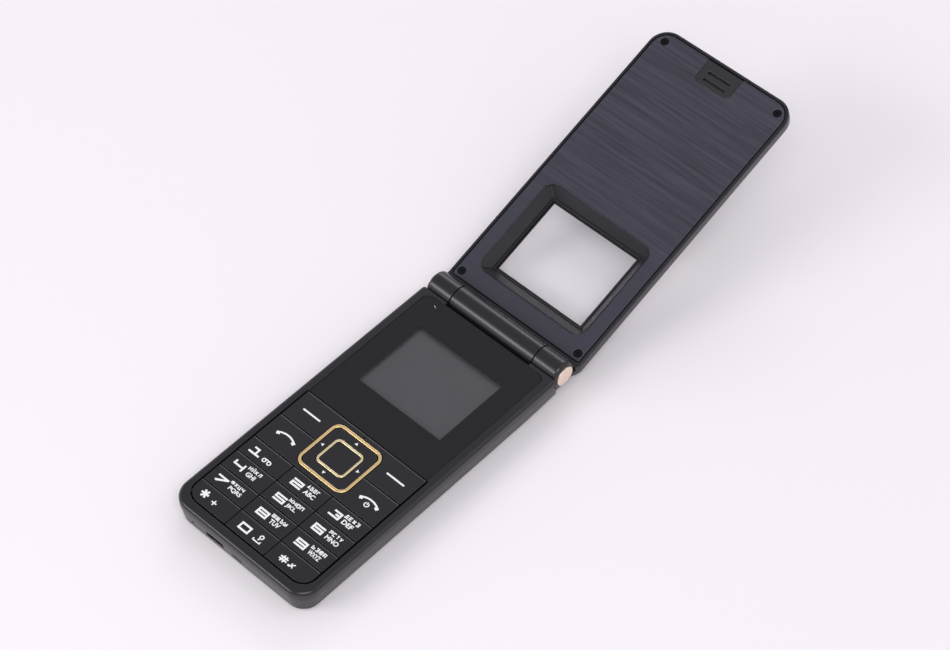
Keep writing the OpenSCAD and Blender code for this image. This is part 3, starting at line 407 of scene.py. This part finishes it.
def letters(text, x, y, height, width, bolder=0.03):
    """A line of letters as a flat mesh, height by width (mm), its lower left corner at x, y."""
    curve = bpy.data.curves.new("letters", "FONT")
    curve.body = text
    curve.offset = bolder
    curve.resolution_u = 3
    holder = bpy.data.objects.new("letters", curve)
    bpy.context.scene.collection.objects.link(holder)
    bpy.context.view_layer.update()
    settled = bpy.context.evaluated_depsgraph_get()
    mesh = bpy.data.meshes.new_from_object(holder.evaluated_get(settled))
    bpy.data.objects.remove(holder)
    bpy.data.curves.remove(curve)
    xs = [v.co.x for v in mesh.vertices]
    ys = [v.co.y for v in mesh.vertices]
    grow = Vector((width / (max(xs) - min(xs)), height / (max(ys) - min(ys))))
    for v in mesh.vertices:
        v.co = ((x + (v.co.x - min(xs)) * grow.x) * MM, (y + (v.co.y - min(ys)) * grow.y) * MM, INK_TOP * MM)
    return mesh


def thicken(shape, faces, depth):
    """Turns flat faces into a closed sheet, depth (mm) deep downwards."""
    grown = bmesh.ops.extrude_face_region(shape, geom=faces, use_keep_orig=True)["geom"]
    moved = [v for v in grown if isinstance(v, bmesh.types.BMVert)]
    bmesh.ops.translate(shape, verts=moved, vec=(0, 0, -depth * MM))
    bmesh.ops.recalc_face_normals(shape, faces=shape.faces)


def print_on(shape, body, name, depth=2 * INK):
    """Gives the flat shapes their film of ink and prints them on a body."""
    shape.normal_update()
    for face in shape.faces:
        if face.normal.z < 0:
            face.normal_flip()
    bmesh.ops.remove_doubles(shape, verts=shape.verts, dist=0.002 * MM)
    thicken(shape, shape.faces[:], depth)
    legend = piece(name, shape)
    legend.data.materials.append(white_ink_and_glint)
    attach(legend, body)


# Strokes of the upper line's letters, each in a box from 0, 0 to 1, 1
STROKES = {
    "А": (((0, 0), (0.5, 1), (1, 0)), ((0.2, 0.35), (0.8, 0.35))),
    "Б": (((0.9, 1), (0, 1), (0, 0), (1, 0), (1, 0.55), (0, 0.55)),),
    "В": (((0, 0.53), (0.9, 0.53), (0.9, 1), (0, 1), (0, 0), (1, 0), (1, 0.53)),),
    "Г": (((0, 0), (0, 1), (1, 1)),),
    "Д": (((0, -0.2), (0, 0.05), (1, 0.05), (1, -0.2)), ((0.15, 0.05), (0.35, 1), (0.85, 1), (0.85, 0.05))),
    "Е": (((1, 1), (0, 1), (0, 0), (1, 0)), ((0, 0.5), (0.85, 0.5))),
    "Ж": (((0.5, 1), (0.5, 0)), ((0, 1), (0.4, 0.5), (0, 0)), ((1, 1), (0.6, 0.5), (1, 0))),
    "З": (((0, 1), (1, 1), (1, 0), (0, 0)), ((0.3, 0.5), (1, 0.5))),
    "И": (((0, 1), (0, 0), (1, 1), (1, 0)),),
    "Й": (((0, 1), (0, 0), (1, 1), (1, 0)), ((0.25, 1.3), (0.75, 1.3))),
    "К": (((0, 0), (0, 1)), ((1, 1), (0.15, 0.5), (1, 0))),
    "Л": (((0, 0), (0.3, 1), (1, 1), (1, 0)),),
    "М": (((0, 0), (0, 1), (0.5, 0.3), (1, 1), (1, 0)),),
    "Н": (((0, 0), (0, 1)), ((1, 0), (1, 1)), ((0, 0.5), (1, 0.5))),
    "О": (((0, 0), (0, 1), (1, 1), (1, 0), (0, 0)),),
    "П": (((0, 0), (0, 1), (1, 1), (1, 0)),),
    "Р": (((0, 0), (0, 1), (1, 1), (1, 0.42), (0, 0.42)),),
    "С": (((1, 1), (0, 1), (0, 0), (1, 0)),),
    "Т": (((0, 1), (1, 1)), ((0.5, 1), (0.5, 0))),
    "У": (((0, 1), (0.55, 0.4)), ((1, 1), (0.3, 0))),
    "Ф": (((0.5, 0), (0.5, 1)), ((0, 0.25), (0, 0.8), (1, 0.8), (1, 0.25), (0, 0.25))),
    "Х": (((0, 0), (1, 1)), ((0, 1), (1, 0))),
    "Ц": (((0, 1), (0, 0), (1.1, 0), (1.1, -0.25)), ((0.9, 0), (0.9, 1))),
    "Ч": (((0, 1), (0, 0.5), (1, 0.5)), ((1, 1), (1, 0))),
    "Ш": (((0, 1), (0, 0), (1, 0), (1, 1)), ((0.5, 0), (0.5, 1))),
    "Щ": (((0, 1), (0, 0), (1.1, 0), (1.1, -0.25)), ((0.45, 0), (0.45, 1)), ((0.9, 0), (0.9, 1))),
    "Ъ": (((0, 1), (0.3, 1), (0.3, 0), (1, 0), (1, 0.5), (0.3, 0.5)),),
    "Ы": (((0, 1), (0, 0), (0.6, 0), (0.6, 0.5), (0, 0.5)), ((1, 0), (1, 1))),
    "Ь": (((0, 1), (0, 0), (0.9, 0), (0.9, 0.5), (0, 0.5)),),
    "Э": (((0, 1), (1, 1), (1, 0), (0, 0)), ((0.35, 0.5), (1, 0.5))),
    "Ю": (((0, 0), (0, 1)), ((0, 0.5), (0.4, 0.5)), ((0.4, 0), (0.4, 1), (1, 1), (1, 0), (0.4, 0))),
    "Я": (((1, 0), (1, 1), (0, 1), (0, 0.45), (1, 0.45)), ((0.5, 0.45), (0, 0))),
}


def stroke_letters(shape, text, x, y, height, width, stroke=0.34, gap=0.25):
    """A line of stroked letters, height by width (mm), its lower left corner at x, y."""
    pitch = (width + gap) / len(text)
    letter_w = pitch - gap - stroke
    for i, letter in enumerate(text):
        for layer, points in enumerate(STROKES[letter]):
            placed = [(x + i * pitch + stroke / 2 + px * letter_w, y + stroke / 2 + py * (height - stroke))
                      for px, py in points]
            ribbon(shape, placed, stroke, z=INK_TOP + LAYER * layer, closed=placed[0] == placed[-1])


FIGURES = {
    "key_2": ("###", "  #", "###", "#  ", "###"),
    "key_4": ("# #", "# #", "###", "  #", "  #"),
    "key_5": ("###", "#  ", "###", "  #", "###"),
    "key_6": ("###", "#  ", "###", "# #", "###"),
    "key_8": ("###", "# #", "###", "# #", "###"),
    "key_9": ("###", "# #", "###", "  #", "###"),
    "key_0": ("###", "# #", "# #", "# #", "###"),
}


def one_with_reels(shape):
    """A figure 1 with a foot, and the two reels on a tape that stand for messages."""
    figure(shape, (" ## ", "  # ", "  # ", "  # ", "####"), (0.8, 1.55, FIGURE_STROKE, 1.3))
    for x in (6.3, 8.3):
        ribbon(shape, arc(x, 0.75, 0.62, 0, 360 - 36, 9), 0.4, closed=True)
    ribbon(shape, [(6.3, 1.4), (8.3, 1.4)], 0.36, z=INK_TOP + LAYER)


def three(shape):
    """A figure 3 whose middle bar is shorter than its foot."""
    figure(shape, (" ###", "   #", "  ##", "   #", "####"), (1.0, 1.2, 1.39, FIGURE_STROKE))


def seven(shape):
    """A figure 7 with a slanting leg."""
    corners = ((0, 2.75), (4.3, 2.75), (4.3, 2.2), (0.75, 0), (0, 0.5), (2.85, 2.13), (0, 2.13))
    shape.faces.new([shape.verts.new((x * MM, y * MM, INK_TOP * MM)) for x, y in corners])


def star_with_plus(shape):
    """A star of three bars, and a plus sign."""
    for layer, angle in enumerate((0, 60, 120)):
        middle = Vector((2.2, 1.9))
        reach = Vector((math.cos(math.radians(angle)), math.sin(math.radians(angle)))) * 1.5
        ribbon(shape, [middle - reach, middle + reach], 0.68, z=INK_TOP + LAYER / 2 * layer)
    ribbon(shape, [(5.6, 1.3), (7.6, 1.3)], 0.42)
    ribbon(shape, [(6.6, 0.35), (6.6, 2.25)], 0.42, z=INK_TOP + LAYER)


def space_with_knob(shape):
    """The open tray that stands for a space, under a stick with a round knob."""
    ribbon(shape, [(6.6, 0.85), (6.6, 0.15), (9.3, 0.15), (9.3, 0.85)], 0.42)
    ribbon(shape, [(8.0, 0.9), (8.2, 1.7)], 0.55)
    ribbon(shape, arc(8.4, 2.3, 0.62, -90, 234, 9), 0.4, closed=True)


def hash_with_cross(shape):
    """A hash sign, and a tick crossed by a stroke."""
    for i in (0, 1):
        ribbon(shape, [(0.7, 1.0 + 0.85 * i), (3.7, 1.0 + 0.85 * i)], 0.5)
        ribbon(shape, [(1.5 + 0.95 * i, 0.2), (1.95 + 0.95 * i, 2.65)], 0.5, z=INK_TOP + LAYER)
    ribbon(shape, [(4.4, 0.75), (5.3, 0.95)], 0.6)
    ribbon(shape, [(4.9, 0.5), (6.5, 2.2)], 0.42, z=INK_TOP + LAYER)
    ribbon(shape, [(5.2, 2.0), (6.3, 0.6)], 0.42, z=INK_TOP + 2 * LAYER)


SIGNS = {"key_1": one_with_reels, "key_3": three, "key_7": seven, "key_star": star_with_plus,
         "key_0": space_with_knob, "key_hash": hash_with_cross}

# Upper and lower line of letters: text, distance from the figure's left edge, length
UPPER_Y, UPPER_H = 2.3, 1.45
LOWER_Y, LOWER_H = 0.1, 1.7
LETTERS = {
    "key_2": (("АБВГ", 5.1, 4.8), ("ABC", 5.5, 4.3)),
    "key_3": (("ДЕЖЗ", 4.7, 5.8), ("DEF", 5.4, 4.2)),
    "key_4": (("ИЙКЛ", 5.0, 5.2), ("GHI", 5.9, 3.5)),
    "key_5": (("МНОП", 4.6, 5.8), ("JKL", 5.0, 4.0)),
    "key_6": (("РСТУ", 5.3, 5.3), ("MNO", 5.6, 5.1)),
    "key_7": (("ФХЦЧ", 4.9, 5.4), ("PQRS", 5.7, 5.0)),
    "key_8": (("ШЩЪЫ", 4.8, 6.0), ("TUV", 5.6, 3.9)),
    "key_9": (("ЬЭЮЯ", 5.2, 5.7), ("WXYZ", 5.6, 4.7)),
}
LAYOUT = (("key_star", "key_0", "key_hash"), ("key_7", "key_8", "key_9"), ("key_4", "key_5", "key_6"),
          ("key_1", "key_2", "key_3"))

for row, nodes in enumerate(LAYOUT):
    for column, node in enumerate(nodes):
        legend = bmesh.new()
        if node in FIGURES:
            figure(legend, FIGURES[node])
        if node in SIGNS:
            SIGNS[node](legend)
        if node in LETTERS:
            (upper, upper_x, upper_w), (lower, lower_x, lower_w) = LETTERS[node]
            stroke_letters(legend, upper, upper_x, UPPER_Y, UPPER_H, upper_w)
            line_mesh = letters(lower, lower_x, LOWER_Y, LOWER_H, lower_w)
            legend.from_mesh(line_mesh)
            bpy.data.meshes.remove(line_mesh)
        place = Vector((COLUMN_X[column], ROW_Y[row], 0)) * MM
        bmesh.ops.translate(legend, verts=legend.verts, vec=place)
        print_on(legend, node, node + "_legend")


def handset(shape, x, y):
    """A telephone receiver, 7.8 mm long, lying face down."""
    ribbon(shape, [(x - 3.4, y - 0.75), (x - 2.6, y - 0.2), (x - 1.2, y + 0.25), (x, y + 0.35),
                   (x + 1.2, y + 0.25), (x + 2.6, y - 0.2), (x + 3.4, y - 0.75)], 0.6)
    for side in (-1, 1):
        ribbon(shape, [(x + side * 2.65, y - 0.6), (x + side * 3.75, y - 1.1)], 1.15, z=INK_TOP + LAYER)


for node, x in (("call_key", -17.5), ("end_key", 18.0)):
    legend = bmesh.new()
    handset(legend, x, -20.95)
    if node == "end_key":
        ribbon(legend, arc(x - 0.05, -22.75, 0.78, 120, 420, 14), 0.36)
        ribbon(legend, [(x - 0.05, -22.7), (x - 0.05, -21.75)], 0.36, z=INK_TOP + LAYER)
    print_on(legend, node, node + "_legend")

for node, x in (("softkey_left", -21.45), ("softkey_right", 14.3)):
    legend = bmesh.new()
    ribbon(legend, [(x, -10.2), (x + 7.2, -10.2)], 0.62)
    print_on(legend, node, node + "_legend")

RING_TOP = KEY_TOP - 0.05
arrows = bmesh.new()
for x, y, angle in ((-7.5, -15.8, 180), (7.4, -15.8, 0), (0.05, -8.75, 90), (-0.05, -22.95, -90)):
    tip = bmesh.ops.create_circle(arrows, cap_ends=True, segments=3, radius=0.68 * MM)["verts"]
    turned = Matrix.Rotation(math.radians(angle - 90), 3, "Z")
    bmesh.ops.rotate(arrows, verts=tip, cent=(0, 0, 0), matrix=turned)
    bmesh.ops.translate(arrows, verts=tip, vec=(x * MM, y * MM, (RING_TOP + INK) * MM))
print_on(arrows, "navigation_key", "navigation_arrows")

# A short light dash near the lens's upper left corner is a painted glint, printed in the white ink.
LENS_TOP = 10.1
glint_dash = bmesh.new()
ribbon(glint_dash, [(-20.1, 46.9), (-19.1, 46.6)], 0.1, z=LENS_TOP + INK)
print_on(glint_dash, "base", "lens_painted_glint")

# ---------------------------------------------------------------------------------------------
# Hinge: the barrels' ends are closed by brass caps, pressed in. They are brushed in straight lines,
# 0.4 mm apart so that they show, and plated in a pale copper gold.

cap_gold = empty_material("pale_copper_gold")
cap_place = add(cap_gold, "ShaderNodeTexCoord").outputs["Object"]
cap_map = add(cap_gold, "ShaderNodeMapping", Vector=cap_place, Scale=(1.0, 2600.0, 120.0))
cap_lines = add(cap_gold, "ShaderNodeTexNoise", Vector=cap_map.outputs[0], Scale=1.0, Detail=2.0)
cap_tone = add(cap_gold, "ShaderNodeMix", {"data_type": "RGBA"}, i0=cap_lines.outputs[0],
               i6=linear("#fee6cc"), i7=linear("#fff2e2"))
cap_bump = add(cap_gold, "ShaderNodeBump", Height=cap_lines.outputs[0], Strength=0.3, Distance=0.01 * MM)
cap_skin = add(cap_gold, "ShaderNodeBsdfPrincipled", Base_Color=cap_tone.outputs[2], Metallic=1.0,
               Roughness=0.38, Normal=cap_bump.outputs[0])
add(cap_gold, "ShaderNodeOutputMaterial", Surface=cap_skin.outputs[0])

caps = softened("hinge_caps", "hinge_caps_plated", 0.12)
caps.data.materials.append(cap_gold)
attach(caps, "base")
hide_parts("hinge_caps")

# ---------------------------------------------------------------------------------------------
# Lid: an ABS shell with the middle hinge barrel, closed by an inner panel with a brushed film.
# The panel's well frames the clear window.

LID_TILT = math.radians(19)
AXIS_Y, AXIS_Z = 55.4, 7.8

shell = softened("lid_shell", "lid_shell_moulding", MOULDED_EDGE)
shell.data.materials.append(housing_abs)
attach(shell, "lid")
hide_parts("lid_shell")

# Brushed film under a clear coat: fine streaks 20 mm long and 0.3 mm apart over broad ones 40 mm long
# and 1.1 mm apart, across the lid, fainter towards the hinge. The real ones are finer than would show.
# Faces below the film, in the well and round the earpiece, are smooth black plastic.
FACE_W = -3.0
FADE_START, FADE_END = 62, 30

brushed = empty_material("brushed_blue_grey_film")
brushed_place = add(brushed, "ShaderNodeTexCoord").outputs["Object"]
hinge_place = Matrix.Rotation(-LID_TILT, 3, "X") @ Vector((0, -AXIS_Y * MM, -AXIS_Z * MM))
lid_map = add(brushed, "ShaderNodeMapping", Vector=brushed_place, Location=hinge_place,
              Rotation=(-LID_TILT, 0, 0))
lid_axes = add(brushed, "ShaderNodeSeparateXYZ", Vector=lid_map.outputs[0])
filmed = add(brushed, "ShaderNodeMath", {"operation": "GREATER_THAN"}, i0=lid_axes.outputs["Z"],
             i1=(FACE_W - 0.06) * MM)
from_hinge = add(brushed, "ShaderNodeMapRange", Value=lid_axes.outputs["Y"], From_Min=FADE_END * MM,
                 From_Max=FADE_START * MM)
long_map = add(brushed, "ShaderNodeMapping", Vector=lid_map.outputs[0], Scale=(50.0, 3200.0, 0.0))
long_streaks = add(brushed, "ShaderNodeTexNoise", Vector=long_map.outputs[0], Scale=1.0, Detail=3.0,
                   Roughness=0.6)
wide_map = add(brushed, "ShaderNodeMapping", Vector=lid_map.outputs[0], Scale=(25.0, 900.0, 0.0))
wide_streaks = add(brushed, "ShaderNodeTexNoise", Vector=wide_map.outputs[0], Scale=1.0, Detail=2.0)
streaks = add(brushed, "ShaderNodeMath", {"operation": "ADD"}, i0=long_streaks.outputs[0],
              i1=wide_streaks.outputs[0])
spread = add(brushed, "ShaderNodeMapRange", Value=streaks.outputs[0], From_Min=0.65, From_Max=1.35)
faded = add(brushed, "ShaderNodeMix", i0=from_hinge.outputs[0], i2=0.45, i3=spread.outputs[0])
film_tone = add(brushed, "ShaderNodeMix", {"data_type": "RGBA"}, i0=faded.outputs[0],
                i6=linear("#2b2a33"), i7=linear("#444351"))
face_tone = add(brushed, "ShaderNodeMix", {"data_type": "RGBA"}, i0=filmed.outputs[0],
                i6=linear("#27262a"), i7=film_tone.outputs[2])
brushed_rough = add(brushed, "ShaderNodeMapRange", Value=spread.outputs[0], To_Min=0.34, To_Max=0.44)
streak_relief = add(brushed, "ShaderNodeMath", {"operation": "MULTIPLY"}, i0=long_streaks.outputs[0],
                    i1=filmed.outputs[0])
brushed_bump = add(brushed, "ShaderNodeBump", Height=streak_relief.outputs[0], Strength=0.2,
                   Distance=0.006 * MM)
brushed_skin = add(brushed, "ShaderNodeBsdfPrincipled", Base_Color=face_tone.outputs[2],
                   Roughness=brushed_rough.outputs[0], IOR=1.5, Normal=brushed_bump.outputs[0])
add(brushed, "ShaderNodeOutputMaterial", Surface=brushed_skin.outputs[0])

panel = softened("lid_panel", "lid_panel_brushed", 0.25, segments=3, flatten=False)
panel.data.materials.append(brushed)
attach(panel, "lid")
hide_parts("lid_panel")

pane = softened("window_pane", "window_pane_polished", 0.1)
pane.data.materials.append(glossy("clear_acrylic_window", "#c9ccd2", 0.04, alpha=0.04))
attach(pane, "lid")
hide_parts("window_pane")

# ---------------------------------------------------------------------------------------------
# Pieces inside the phone and small fittings keep their CAD shape. Each has the finish of what it
# is made of: steel stampings, the battery in its film, green board, silicone, amber leads; only the
# charging socket's steel is darkened further, as painted shade deep in its port opening.


def brushed_steel(name, colour, roughness):
    """Rolled sheet or turned steel: fine straight drawing lines."""
    material = empty_material(name)
    place = add(material, "ShaderNodeTexCoord").outputs["Object"]
    drawn = add(material, "ShaderNodeMapping", Vector=place, Scale=(120.0, 3000.0, 3000.0))
    lines = add(material, "ShaderNodeTexNoise", Vector=drawn.outputs[0], Scale=1.0, Detail=2.0)
    rough = add(material, "ShaderNodeMapRange", Value=lines.outputs[0], To_Min=roughness - 0.06,
                To_Max=roughness + 0.06)
    tone = add(material, "ShaderNodeMix", {"data_type": "RGBA"}, i0=lines.outputs[0], i6=linear(colour),
               i7=[min(1, 1.15 * c) for c in linear(colour)])
    skin = add(material, "ShaderNodeBsdfPrincipled", Base_Color=tone.outputs[2], Metallic=1.0,
               Roughness=rough.outputs[0])
    add(material, "ShaderNodeOutputMaterial", Surface=skin.outputs[0])
    return material


steel = brushed_steel("drawn_steel", "#b9bcc0", 0.32)
INSIDE = {
    steel: ("sim_holder", "shield_cans", "dome_sheet", "microphone", "vibration_motor", "housing_screws",
            "hinge_case", "hinge_slider", "hinge_spring", "hinge_bush", "hinge_cam", "lid_magnet"),
    # The lid screws are blackened steel; the charging socket takes the same dark steel as painted shade in
    # its port.
    brushed_steel("blackened_steel_and_port_shade", "#2a2a2e", 0.4): ("lid_screws", "charging_socket"),
    gold_plate: ("battery_contacts", "antenna"),
    moulded("blue_battery_film", "#35507f", 0.35): ("battery",),
    moulded("green_circuit_board", "#1f5a3a", 0.45): ("main_board",),
    moulded("dark_silicone", "#3c3c42", 0.65): ("key_mat", "nav_pad"),
    moulded("amber_polyimide", "#b8742a", 0.35): ("base_lead", "lid_lead"),
    moulded("black_component", "#202023", 0.4): ("loudspeaker", "camera_module", "earpiece", "earpiece_mesh"),
    moulded("matt_black_tape", "#060607", 0.7): ("window_tape",),
    moulded("white_light_guide", "#e6e6e0", 0.4): ("backlight",),
    moulded("lamp_yellow", "#efe9cf", 0.25): ("torch_lamp",),
    glossy("black_camera_window", "#0b0b0d", 0.05): ("camera_window",),
}
for material, nodes in INSIDE.items():
    for node in nodes:
        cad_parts[node].data.materials.clear()
        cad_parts[node].data.materials.append(material)
